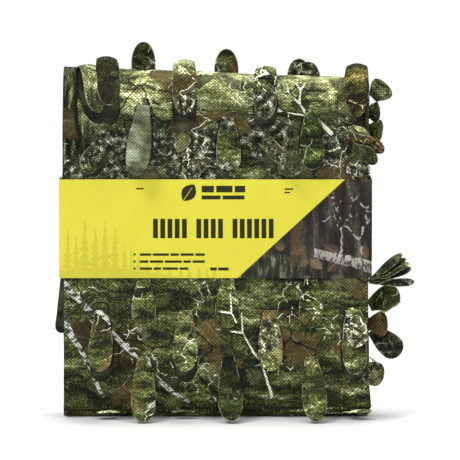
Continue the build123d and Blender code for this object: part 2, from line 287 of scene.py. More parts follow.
LEAF_ROWS, LEAF_COLUMNS = 30, 11
LINE_STEPS = 400  # of the line along a leaf's middle
FIRST_SEED = 1000
RIPPLE = 0.45 * MM  # of a leaf's edges, at most 1.4 times this
THINNEST = 0.4 * MM  # half a leaf's width at its very tip
CLOTH_REACH = 9 * MM  # over which a leaf stops following the cloth below it
NECK = 2.0 * MM  # of cloth behind the hinge line, which joins the tab to the sheet
leaf_count = 0


def leaf_piece(name, settings, body, nodes, held="hung", cupping=(0.08, 0.2)):
    """Builds one leaf. It cups a little across its width and ripples a little along its edges.

    A leaf that lifts stays on the cloth at its root, and bends within the length bends_over from there.
    """
    global leaf_count
    leaf_count += 1
    rng = np.random.default_rng(FIRST_SEED + leaf_count)
    down = settings["down"] / np.linalg.norm(settings["down"])
    out = settings["out"] / np.linalg.norm(settings["out"])
    slant = settings["slant"]
    along = down * math.cos(slant) + np.cross(out, down) * math.sin(slant)
    side = np.cross(out, along)
    foot = settings["root"] + out * LEAF_OFF
    length, lift, bend, cut, way = (settings[k] for k in ("length", "lift", "bend", "cut", "way"))
    fine = np.linspace(0, 1, LINE_STEPS + 1)
    angle = np.radians(lift + bend * np.minimum(fine / settings["bent_by"], 1))
    steps = (along * np.cos(angle)[:, None] + out * np.sin(angle)[:, None]) * (length / LINE_STEPS)
    line = foot + np.concatenate([[np.zeros(3)], np.cumsum((steps[1:] + steps[:-1]) / 2, axis=0)])
    cup = rng.uniform(*cupping)
    ripple, phase = RIPPLE * (0.4 + rng.random()), 6.3 * rng.random(2)
    u0, v0 = cut or (0.3 * rng.random() - 0.15, 0.1 + 0.5 * rng.random())
    if held == "laid":  # pressed flat
        cup, ripple = 0.0, 0.0
    share = np.concatenate([[-NECK / length], 1 - (1 - np.linspace(0, 1, LEAF_ROWS)) ** 1.5])
    t = np.maximum(share, 0)
    place = np.stack([np.interp(t, fine, line[:, i]) for i in range(3)], -1)
    a = np.radians(lift + bend * np.minimum(t / settings["bent_by"], 1))[:, None]
    normal = out * np.cos(a) - along * np.sin(a)
    turn = np.radians(settings["twist"] * np.minimum(t / TWISTED_BY, 1))[:, None]
    wide = side * np.cos(turn) + normal * np.sin(turn)
    face = normal * np.cos(turn) - side * np.sin(turn)
    place[0] = foot - along * NECK - out * (LEAF_OFF - 0.3 * MM)
    half = np.maximum(leaf_half_width(t) * LEAF_WIDTH * MM, THINNEST)
    reach = smooth(0.0, 0.35, t)
    q = np.linspace(-1, 1, LEAF_COLUMNS)
    height = (cup * half * reach)[:, None] * (1 - q * q)
    wave = np.sin(t[:, None] * 9 + phase[0] + (q > 0) * phase[1])
    height = height + ripple * reach[:, None] * np.abs(q) ** 2 * wave
    sideways = wide[:, None] * (half[:, None] * q)[..., None]
    points = place[:, None] + sideways + face[:, None] * height[..., None]
    uv = np.stack([u0 + half[:, None] * q, v0 + way * (share * length)[:, None] + 0 * q], -1)
    if cut:  # it follows the swell of the cloth that it lies on
        off = np.abs((points - foot) @ out)
        rise = swell(uv[..., 0], uv[..., 1]) * np.exp(-off / CLOTH_REACH)
        points = points + out * rise[..., None]
    points, uv = points.reshape(-1, 3), uv.reshape(-1, 2)
    faces = grid_faces(len(share), LEAF_COLUMNS)
    if (face_normals(points, faces) @ out)[: 3 * LEAF_COLUMNS].sum() < 0:
        faces = faces[:, ::-1]
    piece = mesh_object(name, points, faces, uv)
    to_side = half[:, None] * (1 - np.abs(q))
    to_tip = ((1 - share) * length)[:, None] + 0 * q
    rim = piece.data.attributes.new("rim", "FLOAT", "POINT")
    rim.data.foreach_set("value", np.minimum(to_side, to_tip).ravel().astype(np.float32))
    thicken(piece)
    if body == "pack":
        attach(piece, body)
    else:
        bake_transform(piece)
    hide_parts(*nodes)
    leaf_pieces.append(piece)


def front_leaf(x, height, **shape):
    """A leaf hanging down the front of the pack. Its root lies along the cloth's own slope."""
    slope = math.atan2(half_depth(height - 3) - half_depth(height + 3), 6)
    down = (0, -math.sin(slope), -math.cos(slope))
    out = (0, -math.cos(slope), math.sin(slope))
    return leaf((x, -half_depth(height), height), down, out, cut=(x * MM, path_at(height * MM)), **shape)


def back_leaf(x, height, off, **shape):
    """A leaf hanging down the back of the pack, off being what lies between it and the cloth."""
    cut = None if off > 2 else (x * MM, PATH - path_at(height * MM))
    return leaf((x, half_depth(height) + off, height), DOWN, BACKWARD, cut=cut, way=1, **shape)


def roll_leaf(x, angle, **shape):
    """A leaf that comes over the roll. angle is its root's place, from the crest towards the front."""
    turn = math.radians(angle)
    shoulder = (SHOULDER - CREST_DROP * (x * MM + HALF_WIDTH) / (2 * HALF_WIDTH)) / MM
    radius = ROLL_RADIUS / MM
    root = (x, -radius * math.sin(turn), shoulder + radius * math.cos(turn))
    out = (0, -math.sin(turn), math.cos(turn))
    down = (0, -math.cos(turn), -math.sin(turn))
    return leaf(root, down, out, cut=(x * MM, CREST_PATH - ROLL_RADIUS * turn), **shape)


def crest_leaf(x, tip, off=0, **shape):
    """A leaf on the back of the roll that stands up past it, to a given height."""
    height = tip - shape.get("length", LEAF_LENGTH)
    cut = (x * MM, PATH - path_at(height * MM))
    return leaf((x, ROLL_RADIUS / MM + off, height), UP, BACKWARD, cut=cut, **shape)


def side_leaf(depth, height, rise, **shape):
    """A leaf on the pack's right side, seen edge-on from the front. rise is its angle above level."""
    return leaf((HALF_WIDTH / MM, depth, height), DOWN, RIGHT, lift=rise + 90, **shape)


def corner_leaf(x, depth, height, **shape):
    """A leaf that points right and shows its face to the front."""
    return leaf((x, depth, height), RIGHT, FORWARD, **shape)


def edge_leaf(depth, height, slant, **shape):
    """A leaf like that, out of the pack's right end. A slanted root stands off by what it leans."""
    lean = LEAF_WIDTH * LEAF_OUTLINE[0][1] * abs(math.sin(math.radians(slant)))
    return corner_leaf(HALF_WIDTH / MM + EDGE_OFF + lean, depth, height, slant=slant, **shape)


EDGE_OFF, FOOT_LEAF_HEIGHT, END_OFF = 0.6, 6.5, 2.7
TUFT_RISES = (37, 30, 24, 18, 1)  # angles above level of the tuft's leaves
TUFT_TWIST = 14
tuft = [
    side_leaf(2.5 * i - 6, 144.2 - i, rise, bend=4 - i, length=44 + i, twist=TUFT_TWIST)
    for i, rise in enumerate(TUFT_RISES)
]
free_leaves = {
    "leaf_low_1": [front_leaf(columns_b[0], LOW_ROW, lift=24, bend=16)],
    "leaf_low_2": [front_leaf(columns_b[1] + 1, LOW_ROW, slant=3, lift=27, bend=12)],
    "leaf_low_3": [front_leaf(columns_b[2], LOW_ROW, slant=5, lift=25, bend=16)],
    "leaf_middle_1": [front_leaf(columns_a[0], MIDDLE_ROW, slant=-1, lift=28, bend=8, twist=8)],
    "leaf_middle_2": [front_leaf(columns_a[1], MIDDLE_ROW, lift=26, bend=12)],
    "leaf_middle_3": [front_leaf(columns_a[2], MIDDLE_ROW, slant=2, lift=3, bend=4, length=62)],
    "leaf_middle_4": [
        front_leaf(columns_a[3] + 1, MIDDLE_ROW + 3, slant=2, lift=40, bend=-10, length=50),
        front_leaf(columns_a[3] - 1, MIDDLE_ROW, slant=3, lift=22, bend=10),
    ],
    "leaf_high_1": [front_leaf(columns_b[0], HIGH_ROW, slant=-6, lift=7, bend=10)],
    "leaf_high_2": [front_leaf(columns_b[1], HIGH_ROW - 12, slant=2, lift=4, bend=4, length=58)],
    "leaf_high_3": [front_leaf(columns_b[2], HIGH_ROW - 6, slant=1, lift=6, bend=8, length=60)],
    "leaf_roll_1": [
        roll_leaf(-118, -8, slant=8, lift=50, bend=-122, length=82, bent_by=0.52),
        roll_leaf(-140, 12, slant=22, lift=36, bend=-106, length=72, twist=-8, bent_by=0.6),
    ],
    "leaf_roll_2": [roll_leaf(columns_a[1] - 1, 2, lift=62, bend=-144, length=84, bent_by=0.55)],
    "leaf_roll_3": [roll_leaf(columns_a[2] - 2, 4, slant=-4, lift=52, bend=-132, length=80, bent_by=0.55)],
    "leaf_roll_4": [
        roll_leaf(columns_a[3] + 5, 0, slant=-3, lift=68, bend=-148, length=85, bent_by=0.57),
        roll_leaf(columns_a[3] - 5, 20, slant=3, lift=14, bend=-80, length=57, bent_by=0.55),
    ],
    "leaf_crest_1": [crest_leaf(columns_b[0] - 1, 394, lift=3, bend=-4)],
    "leaf_crest_2": [crest_leaf(columns_b[1] - 1, 386.5, lift=3, bend=-2)],
    "leaf_crest_3": [
        crest_leaf(98, 373, lift=2, bend=-2, length=68),
        crest_leaf(88, 376, off=1.6, lift=3, bend=-2, length=68),
    ],
    "leaf_inner": [front_leaf(50, 294, slant=50, lift=46, bend=-8, length=40, twist=46)],
    "leaf_side_high": [edge_leaf(-8, 338, 46, lift=4, bend=-6, length=19)],
    "leaf_side_tuft": tuft,
    "leaf_side_low": [side_leaf(-6, 103, 26, bend=6, length=38)],
    "leaf_corner_high": [
        corner_leaf(138, -half_depth(295), 295, slant=-10, lift=42, bend=-10, length=48, twist=46),
        corner_leaf(140, -half_depth(303), 302, slant=-9, lift=38, bend=-8, length=25, twist=44),
        corner_leaf(139, -half_depth(284), 284, slant=-14, lift=38, bend=-12, length=37, twist=42),
    ],
    "leaf_edge_upper": [edge_leaf(20, 115, 26, lift=-2, bend=-4, length=33)],
    "leaf_edge_middle": [edge_leaf(-22, 99, 4, lift=8, bend=-14, length=19)],
    "leaf_edge_low": [edge_leaf(-14, 91, -40, lift=6, bend=8, length=38)],
    "leaf_edge_curl": [corner_leaf(152, -37.4, 52, slant=-12, lift=30, bend=-36, length=26)],
}
under_row = [(x, 212) for x in columns_b] + [(x + 18, 246) for x in columns_a[:3]]
held_leaves = {
    "leaves_under_band": [
        leaf((x, -half_depth(200) - 0.2, z), DOWN, FORWARD, length=60) for x, z in under_row
    ],
    "leaves_below_band": [front_leaf(x, BAND_ROW, lift=2, bend=1, length=50) for x in columns_b],
    "leaves_above_band": [
        front_leaf(-120, 291, slant=-34, lift=34, bend=-14, length=38, twist=-38),
        front_leaf(columns_a[1] + 8, 285, slant=4, lift=2, length=28),
        front_leaf(columns_a[2] + 22, 281, lift=3, length=25),
        front_leaf(columns_a[3] + 6, 275, slant=-3, lift=1, length=20),
    ],
    "leaves_on_back": [back_leaf(x, 330, 0.6, lift=7, bend=6) for x in (-118, -34, 56, 138)]
    + [back_leaf(x, BAND_ROW - 2, END_OFF + 0.6, lift=5, bend=6) for x in columns_b]
    + [back_leaf(x, 77, 1.2, lift=18, bend=14, length=70) for x in columns_a],
    "leaves_at_edges": [
        leaf((-117, -27.5, FOOT_LEAF_HEIGHT), (0.3, -1, 0), UP, bend=6, length=20),
        leaf((-34, -26.5, FOOT_LEAF_HEIGHT), FORWARD, UP, bend=4, length=14),
        leaf((140, -29, FOOT_LEAF_HEIGHT), (0.75, -0.65, 0), UP, bend=8, length=26),
        edge_leaf(2, 321, 4, lift=4, length=11, twist=-40),
        edge_leaf(8, 302, -6, lift=6, length=14, twist=-20),
        side_leaf(-2, 62, -38, bend=-24, length=14),
    ],
}
leaf_pieces = []
for group, body_of_group in [(free_leaves, None), (held_leaves, "pack")]:
    for node, blades in group.items():
        for i, blade in enumerate(blades):
            label = f"{node}_{'abcdefghijk'[i]}"
            way_held = "laid" if node == "leaves_under_band" else "hung"
            cupping = (0.3, 0.38) if node.startswith("leaf_roll") else (0.08, 0.2)
            leaf_piece(label, blade, body_of_group or node, [node], way_held, cupping)


# ---- The folded cloth ---------------------------------------------------------------------------------
ACROSS, ALONG = 20, 42  # cells of a ply, across the pack and along its path
TURN_STEPS = 4
EASE = 0.0495  # how far the cells crowd towards the roll
GRAIN = 3.4 * MM  # between the points of the outermost ply
HOLE_CLEARANCE = 0.15 * MM  # round a leaf
HOLE_SLANT = 0.6  # share of its leaf's slant
HOLE_FROM_END, HOLE_FROM_FOOT = 2 * MM, 4 * MM
MID_HEIGHT = 200 * MM  # about half way up the pack


def ply_share(pleat, ply_b):
    """Where a ply lies from the pack's middle to its outside. Ply B is the outer one of every other pleat."""
    return OUTER_SHARE - PLY_PITCH * (2 * pleat + (ply_b if pleat % 2 == 0 else 1 - ply_b))


def pleat_ends(pleat, ply_b):
    """The x of a ply's two ends, less the radius of the turn into the next pleat."""
    left = -HALF_WIDTH + (END_STAGGER * (1 + math.sin(2.3 * pleat)) if pleat else 0)
    right = HALF_WIDTH - (END_STAGGER * (1 + math.sin(1.7 * pleat)) if pleat else 0)
    wide_turn = abs(ply_share(0, ply_b) - ply_share(1, ply_b)) * ROLL_RADIUS / 2
    narrow_turn = abs(ply_share(1, ply_b) - ply_share(2, ply_b)) * ROLL_RADIUS / 2
    turns = wide_turn if pleat % 2 == 0 else narrow_turn, narrow_turn if pleat % 2 == 0 else wide_turn
    ahead = -1 if pleat % 2 else 1  # even pleats run to the right and turn there
    right -= turns[0] if ahead > 0 else turns[1]
    left += turns[1] if ahead > 0 else turns[0]
    return left, right


even = np.linspace(0, 1, ALONG + 1)
eased = even + EASE * np.sin(2 * np.pi * even)
PATHS = FOOT_OFF + eased * (PATH - 2 * FOOT_OFF)  # places along a ply, closer together round the roll


def pleat_rows(x, pleat):
    """Points of both plies of a pleat at each x: down ply A from the back foot, round the fold, up ply B."""
    x = np.asarray(x, float)
    share_a, share_b = ply_share(pleat, 0), ply_share(pleat, 1)
    x_a, x_b = x if x.ndim == 1 else x[0], x if x.ndim == 1 else x[1]
    a = surface(x_a[:, None], share_a, PATHS[None, ::-1])
    b = surface(x_b[:, None], share_b, PATHS[None, :])
    middle, half = (a[:, -1] + b[:, 0]) / 2, (a[:, -1] - b[:, 0]) / 2
    radius = np.linalg.norm(half, axis=-1, keepdims=True)
    turn = np.linspace(0, np.pi, TURN_STEPS + 1)[1:-1]
    fold = middle[:, None] + half[:, None] * np.cos(turn)[:, None]
    fold = fold + np.array((0, 0, -1.0)) * (radius[:, None] * np.sin(turn)[:, None])
    v_fold = -np.linspace(-FOOT_OFF, FOOT_OFF, TURN_STEPS + 1)[1:-1]
    v = np.concatenate([PATHS[::-1], v_fold, -PATHS])
    return np.concatenate([a, fold, b], axis=1), v


columns, column_u = [], []
u_start = -HALF_WIDTH
for pleat in range(PLEATS):
    ends_a, ends_b = pleat_ends(pleat, 0), pleat_ends(pleat, 1)
    t = np.linspace(0, 1, ACROSS + 1) if pleat % 2 == 0 else np.linspace(1, 0, ACROSS + 1)
    x = np.stack([ends_a[0] + (ends_a[1] - ends_a[0]) * t, ends_b[0] + (ends_b[1] - ends_b[0]) * t])
    rows, print_v = pleat_rows(x, pleat)
    if columns:  # the turn out of the last pleat, which bulges past both pleats' ends
        last = columns[-1]
        middle, half = (last + rows[0]) / 2, (last - rows[0]) / 2
        radius = np.linalg.norm(half, axis=-1, keepdims=True)
        outwards = np.array((1.0 if pleat % 2 else -1.0, 0, 0))
        for turn in np.linspace(0, np.pi, TURN_STEPS + 1)[1:-1]:
            columns.append(middle + half * math.cos(turn) + outwards * (radius * math.sin(turn)))
            u_start += 1 * MM
            column_u.append(u_start)
    columns.extend(rows)
    column_u.extend(u_start + np.linspace(0, 2 * HALF_WIDTH, ACROSS + 1))
    u_start = column_u[-1]
columns, column_u = np.array(columns), np.array(column_u)
count, rows_each = columns.shape[:2]
grid_points = columns.reshape(-1, 3)
grid_uv = np.stack([np.repeat(column_u, rows_each), np.tile(print_v, count)], -1)
faces = grid_faces(count, rows_each)
column_of, row_of = faces[:, 0] // rows_each, faces[:, 0] % rows_each
# Ply A of the first pleat, the outermost, is left out: it is built with its leaf holes below.
grid_quads = faces[(column_of >= ACROSS) | (row_of >= ALONG)]

# The outermost ply, with a hole behind each leaf that is cut from it clear of the feet.
left_x, right_x = pleat_ends(0, 0)
edge_x = left_x + (right_x - left_x) * np.linspace(0, 1, ACROSS + 1)
border = [(x, PATHS[0]) for x in edge_x] + [(right_x, p) for p in PATHS[1:]]
border += [(x, PATHS[-1]) for x in edge_x[::-1][1:]] + [(left_x, p) for p in PATHS[::-1][1:-1]]
flat_points = [Vector(p) for p in border]
loops = [list(range(len(border)))]
hole_shapes = []
for x, root, length, way, slant in slots:
    s = np.concatenate([np.linspace(0.0, 0.9, 19), [0.94, 0.97, 0.99, 1.0]])
    half = leaf_half_width(s) * LEAF_WIDTH * MM + HOLE_CLEARANCE
    outline = np.concatenate([np.stack([half, s * length], -1), np.stack([-half, s * length], -1)[::-1][1:]])
    angle = math.radians(slant) * HOLE_SLANT
    c, n = math.cos(angle), math.sin(angle)
    turned = np.stack([outline[:, 0] * c + outline[:, 1] * n * -way, outline[:, 1] * c], -1)
    shape = np.stack([x + turned[:, 0], root + way * turned[:, 1]], -1)
    shape[:, 0] = np.clip(shape[:, 0], left_x + HOLE_FROM_END, right_x - HOLE_FROM_END)
    if shape[:, 1].min() < HOLE_FROM_FOOT or shape[:, 1].max() > PATH - HOLE_FROM_FOOT:
        continue
    loops.append(list(range(len(flat_points), len(flat_points) + len(shape))))
    flat_points += [Vector(p) for p in shape]
    hole_shapes.append(shape)
for i, x in enumerate(np.arange(left_x + GRAIN / 2, right_x - GRAIN / 3, GRAIN)):
    for p in np.arange(PATHS[0] + GRAIN / 2 + (i % 2) * GRAIN / 2, PATHS[-1] - GRAIN / 3, GRAIN):
        flat_points.append(Vector((x, p)))


def inside(shape, points):
    """Which points lie inside a closed outline."""
    a, b = shape, np.roll(shape, -1, axis=0)
    x, y = points[:, :1], points[:, 1:2]
    crosses = (a[:, 1] > y) != (b[:, 1] > y)
    rise = np.where(b[:, 1] == a[:, 1], 1e-12, b[:, 1] - a[:, 1])
    at = a[:, 0] + (y - a[:, 1]) * (b[:, 0] - a[:, 0]) / rise
    return (crosses & (x < at)).sum(1) % 2 == 1


edges = [(loop[i], loop[(i + 1) % len(loop)]) for loop in loops for i in range(len(loop))]
flat, triangles = triangulate(flat_points, edges)
middles = flat[triangles].mean(1)
kept = np.ones(len(triangles), bool)
for shape in hole_shapes:
    kept &= ~inside(shape, middles)
kept &= inside(np.array(border), middles)
triangles = triangles[kept]
outer_points = surface(flat[:, 0], ply_share(0, 0), flat[:, 1])
from_middle = outer_points[triangles].mean(1) - (0, 0, MID_HEIGHT)
if (face_normals(outer_points, triangles) * from_middle)[:, 1:].sum() < 0:
    triangles = triangles[:, ::-1]

# The free end of the sheet, over the back: two plies of their own, not joined to the pleats. Their lower left
# corner flares out of the pack.
END_LEVELS = (0.9 * MM, 2.3 * MM)  # off the outermost ply
END_PRINT = np.array((0.31, -0.03))  # from a place on the pack's back to its place on the print
END_STEP, END_GRAIN = 6 * MM, 7 * MM  # between the points of its outline, and inside it
END_OUTLINE = np.array(
    [
        (-162.2, 301), (-163.0, 252.5), (-163.0, 148.5), (-165.3, 144), (-171.2, 92), (-170.9, 88.0),
        (-169, 85.0), (-166, 83.4), (-60, 81.0), (60, 83.0), (150, 80.5), (153.5, 302), (40, 300), (-60, 303),
    ]
) * MM


def end_sheet(level, order):
    """Points, faces and print places of one ply of the free end."""
    smoothed = []
    for i in range(len(END_OUTLINE)):
        a, b = END_OUTLINE[i], END_OUTLINE[(i + 1) % len(END_OUTLINE)]
        n = max(1, int(np.linalg.norm(b - a) / END_STEP))
        smoothed += [a + (b - a) * j / n for j in range(n)]
    shape = np.array(smoothed)
    points = [Vector(p) for p in shape]
    ring = [(i, (i + 1) % len(shape)) for i in range(len(shape))]
    for i, x in enumerate(np.arange(-0.17, 0.16, END_GRAIN)):
        for z in np.arange(0.083 + (i % 2) * END_GRAIN / 2, 0.3, END_GRAIN):
            if inside(shape, np.array([(x, z)]))[0]:
                points.append(Vector((x, z)))
    made, tris = triangulate(points, ring, kind=1)
    x, z = made[:, 0], made[:, 1]
    depth = np.array([half_depth(height / MM) * MM for height in z])
    loose = smooth(-0.15, -0.172, x) * smooth(0.150, 0.12, z)
    curl = loose * (1.2 * MM * np.sin(z * 90 + order) - 1.5 * MM * order)
    out = np.stack([x + order * 0.4 * MM * np.sin(z * 61), depth + level + curl, z], -1)
    if face_normals(out, tris)[:, 1].sum() < 0:
        tris = tris[:, ::-1]
    return out, tris, made + END_PRINT


points, uvs = [grid_points, outer_points], [grid_uv, flat]
polygons = [*grid_quads, *(triangles + len(grid_points))]
start = len(grid_points) + len(outer_points)
for order, level in enumerate(END_LEVELS):
    end_points, end_faces, end_uv = end_sheet(level, order)
    polygons += [*(end_faces + start)]
    points.append(end_points)
    uvs.append(end_uv)
    start += len(end_points)
cloth = mesh_object("folded_cloth", np.concatenate(points), polygons, np.concatenate(uvs))
welded = bmesh.new()
welded.from_mesh(cloth.data)
bmesh.ops.remove_doubles(welded, verts=welded.verts, dist=0.01 * MM)
bmesh.ops.delete(welded, geom=[v for v in welded.verts if not v.link_faces], context="VERTS")
welded.to_mesh(cloth.data)
welded.free()
thicken(cloth)
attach(cloth, "pack")
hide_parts(*[f"cloth_fold_{i + 1:02d}" for i in range(PLEATS)], "cloth_loose_end")


# ---- The printed card band ----------------------------------------------------------------------------
CARD_GRAIN = 8 * MM  # between the points of a panel


def card_panel(name, low, high, normal, regions, materials, body):
    """A card panel between two corners, thin along normal.

    regions are (outline, material index), last on top. An outline's two coordinates run across the panel,
    seen from outside, and up it.
    """
    low, high = np.array(low, float), np.array(high, float)
    normal = np.array(normal, float)
    axis = int(np.argmax(np.abs(normal)))
    side = np.cross(np.array((0, 0, 1.0)), normal)  # to the viewer's right
    across = int(np.argmax(np.abs(side)))
    sign = side[across]
    a0, a1 = sorted((sign * low[across], sign * high[across]))
    b0, b1 = low[2], high[2]
    flat_points, loops = [], []

    def add_loop(outline):
        start = len(flat_points)
        flat_points.extend(Vector(p) for p in outline)
        loops.extend((start + i, start + (i + 1) % len(outline)) for i in range(len(outline)))

    n, m = (max(1, round(length / CARD_GRAIN)) for length in (a1 - a0, b1 - b0))
    rim = [(a0 + (a1 - a0) * i / n, b0) for i in range(n)] + [(a1, b0 + (b1 - b0) * i / m) for i in range(m)]
    rim += [(a1 - (a1 - a0) * i / n, b1) for i in range(n)] + [(a0, b1 - (b1 - b0) * i / m) for i in range(m)]
    add_loop(rim)
    for outline, _ in regions:
        add_loop([(min(max(a, a0), a1), min(max(b, b0), b1)) for a, b in outline])
    for i in range(1, n):
        for j in range(1, m):
            flat_points.append(Vector((a0 + (a1 - a0) * (i + 0.02 * (j % 3)) / n, b0 + (b1 - b0) * j / m)))
    flat, tris = triangulate(flat_points, loops)
    one, other = flat[tris[:, 1]] - flat[tris[:, 0]], flat[tris[:, 2]] - flat[tris[:, 0]]
    tris = tris[np.abs(one[:, 0] * other[:, 1] - one[:, 1] * other[:, 0]) > 1e-12]  # less any of no area
    index = np.zeros(len(tris), int)
    middles = flat[tris].mean(1)
    for outline, slot in regions:
        index[inside(np.array(outline, float), middles)] = slot
    points = np.zeros((len(flat), 3))
    points[:, across] = sign * flat[:, 0]
    points[:, 2] = flat[:, 1]
    points[:, axis] = (high if normal[axis] > 0 else low)[axis]
    away = face_normals(points, tris) @ normal < 0
    tris[away] = tris[away][:, ::-1]
    piece = mesh_object(name, points, tris, flat, smooth_faces=False)
    for material in materials:
        piece.data.materials.append(material)
    piece.data.polygons.foreach_set("material_index", index)
    board = piece.modifiers.new("board", "SOLIDIFY")
    board.thickness = abs(high[axis] - low[axis])
    board.offset = -1
    board.material_offset = board.material_offset_rim = len(materials)
    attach(piece, body)
    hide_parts(name.replace("_panel", ""))


# ---- Materials ----------------------------------------------------------------------------------------
class Surface:
    """A node material, with short names for the nodes that it is made of."""

    def __init__(self, name, roughness):
        self.material = bpy.data.materials.new(name)
        self.material.use_nodes = True
        self.tree = self.material.node_tree
        self.shader = self.tree.nodes["Principled BSDF"]
        self.shader.inputs["Roughness"].default_value = roughness
        self.shader.inputs["Specular IOR Level"].default_value = 0.25

    def put(self, socket, value):
        """Links a socket, or sets it to a value."""
        if isinstance(value, bpy.types.NodeSocket):
            self.tree.links.new(value, socket)
        else:
            socket.default_value = value

    def node(self, kind, output=0, settings=None, **inputs):
        """Adds a node. Spaces in an input's name are written as underscores."""
        made = self.tree.nodes.new(kind)
        for key, value in (settings or {}).items():
            setattr(made, key, value)
        for key, value in inputs.items():
            self.put(made.inputs[key.replace("_", " ")], value)
        return made.outputs[output]

    def math(self, operation, *values, clamp=False):
        made = self.tree.nodes.new("ShaderNodeMath")
        made.operation, made.use_clamp = operation, clamp
        for socket, value in zip(made.inputs, values):
            self.put(socket, value)
        return made.outputs[0]

    def vector(self, operation, *values, output=0):
        made = self.tree.nodes.new("ShaderNodeVectorMath")
        made.operation = operation
        for socket, value in zip(made.inputs, values):
            self.put(socket, value)
        return made.outputs[output]

    def step(self, low, high, value):
        """0 at low, 1 at high and a smooth step between."""
        kind = {"interpolation_type": "SMOOTHSTEP"}
        return self.node("ShaderNodeMapRange", 0, kind, Value=value, From_Min=low, From_Max=high)

    def both(self, *masks):
        """Where every mask is set."""
        made = masks[0]
        for mask in masks[1:]:
            made = self.math("MULTIPLY", made, mask)
        return made

    def between(self, low, high, edge, value):
        """Set from low to high, with soft edges."""
        return self.both(self.step(low - edge, low + edge, value), self.step(high + edge, high - edge, value))

    def place_on_print(self):
        return self.node("ShaderNodeUVMap", 0, {"uv_map": "print"})

    def xy(self, at):
        """The first two coordinates of a place."""
        return self.node("ShaderNodeSeparateXYZ", Vector=at).node.outputs[:2]

    def tinted(self, colour, tint):
        return self.mix(1.0, colour, tint, "MULTIPLY")

    def mix(self, factor, a, b, blend="MIX"):
        made = self.tree.nodes.new("ShaderNodeMix")
        made.data_type, made.blend_type = "RGBA", blend
        for index, value in ((0, factor), (6, a), (7, b)):
            if isinstance(value, tuple):
                value = (*value, 1)
            self.put(made.inputs[index], value)
        return made.outputs[2]

    def noise(self, at, scale, detail=4.0, rough=0.55, output=0):
        if isinstance(scale, tuple):
            at, scale = self.vector("MULTIPLY", at, (*scale, 1)), 1.0
        settings, values = {"noise_dimensions": "2D"}, {"Detail": detail, "Roughness": rough}
        return self.node("ShaderNodeTexNoise", output, settings, Vector=at, Scale=scale, **values)

    def blend(self, one, share, other):
        """One value by its share, and another by the rest."""
        return self.math("ADD", self.math("MULTIPLY", one, share), self.math("MULTIPLY", other, 1 - share))

    def scaled(self, at, by):
        return self.node("ShaderNodeVectorMath", 0, {"operation": "SCALE"}, Vector=at, Scale=by)

    def wander(self, at, scale, detail):
        """Smooth random offsets of up to a half, either way."""
        return self.vector("SUBTRACT", self.noise(at, scale, detail, output=1), (0.5, 0.5, 0.5))

    def warp(self, at, offsets, amount):
        return self.vector("ADD", at, self.scaled(offsets, amount))

    def ramp(self, value, *stops):
        """Colours along a value; each stop is (place, colour)."""
        made = self.tree.nodes.new("ShaderNodeValToRGB")
        self.put(made.inputs[0], value)
        elements = made.color_ramp.elements
        while len(elements) < len(stops):
            elements.new(1.0)
        for element, (place, colour) in zip(elements, stops):
            element.position = place
            element.color = (*colour, 1)
        return made.outputs[0]

    def stroke(self, at, start, end, width, edge=0.0004):
        """A straight stroke between two places, tapering to half its width."""
        start, end = Vector((*start, 0)), Vector((*end, 0))
        along = end - start
        off = self.vector("SUBTRACT", at, tuple(start))
        share = self.vector("DOT_PRODUCT", off, tuple(along / along.length_squared), output=1)
        share = self.math("MULTIPLY", share, 1.0, clamp=True)
        nearest = self.scaled(tuple(along), share)
        distance = self.vector("DISTANCE", off, nearest, output=1)
        reach = self.math("MULTIPLY_ADD", share, -width / 2, width)
        return self.step(edge, -edge, self.math("SUBTRACT", distance, reach))

    def strokes(self, at, *lines):
        """Several strokes at once."""
        made = self.stroke(at, *lines[0])
        for line in lines[1:]:
            made = self.math("MAXIMUM", made, self.stroke(at, *line))
        return made

    def web(self, at, cell, width):
        """A net of thin forking lines."""
        settings = {"voronoi_dimensions": "2D", "feature": "DISTANCE_TO_EDGE"}
        edge = self.node("ShaderNodeTexVoronoi", 0, settings, Vector=at, Scale=1 / cell)
        return self.step(width / cell, width / cell * 0.3, edge)

    def litter(self, at, cell, share):
        """Fallen leaves: (where they lie, their midribs and veins, a random colour for each)."""
        cells = self.tree.nodes.new("ShaderNodeTexVoronoi")
        cells.voronoi_dimensions = "2D"
        self.put(cells.inputs["Vector"], at)
        self.put(cells.inputs["Scale"], 1 / cell)
        pick = self.node("ShaderNodeSeparateColor", Color=cells.outputs["Color"])
        separate = pick.node
        off = self.vector("SUBTRACT", at, cells.outputs["Position"])
        angle = self.math("MULTIPLY", separate.outputs[0], 6.28)
        turned = self.node("ShaderNodeVectorRotate", 0, {"rotation_type": "Z_AXIS"}, Vector=off, Angle=angle)
        along, to_side = self.xy(turned)
        across = self.math("ABSOLUTE", to_side)
        length = cell * 0.62
        reach = self.math("DIVIDE", along, length)
        bulge = self.math("MULTIPLY", reach, reach)
        half = self.math("MULTIPLY_ADD", bulge, -0.36 * cell, 0.36 * cell)
        lobes = self.math("MULTIPLY", self.math("SINE", self.math("MULTIPLY", along, 34 / cell)), 0.05 * cell)
        inside_leaf = self.step(0, 0.0006, self.math("ADD", self.math("SUBTRACT", half, across), lobes))
        chosen = self.math("LESS_THAN", separate.outputs[1], share)
        slanted = self.math("SUBTRACT", along, self.math("MULTIPLY", across, 0.8))
        veins = self.step(0.93, 1.0, self.math("SINE", self.math("MULTIPLY", slanted, 40 / cell)))
        rib = self.math("MAXIMUM", self.step(0.0007, 0.0003, across), self.math("MULTIPLY", veins, 0.5))
        return self.both(inside_leaf, chosen), rib, separate.outputs[2]

    def finish(self, colour, height=None, depth=0.3 * MM, strength=0.6):
        """Sets the colour, and a bump from a height."""
        self.put(self.shader.inputs["Base Color"], colour)
        if height is not None:
            bump = self.node("ShaderNodeBump", Height=height, Strength=strength, Distance=depth)
            self.put(self.shader.inputs["Normal"], bump)
        return self.material


WEAVE = 3.7 * MM


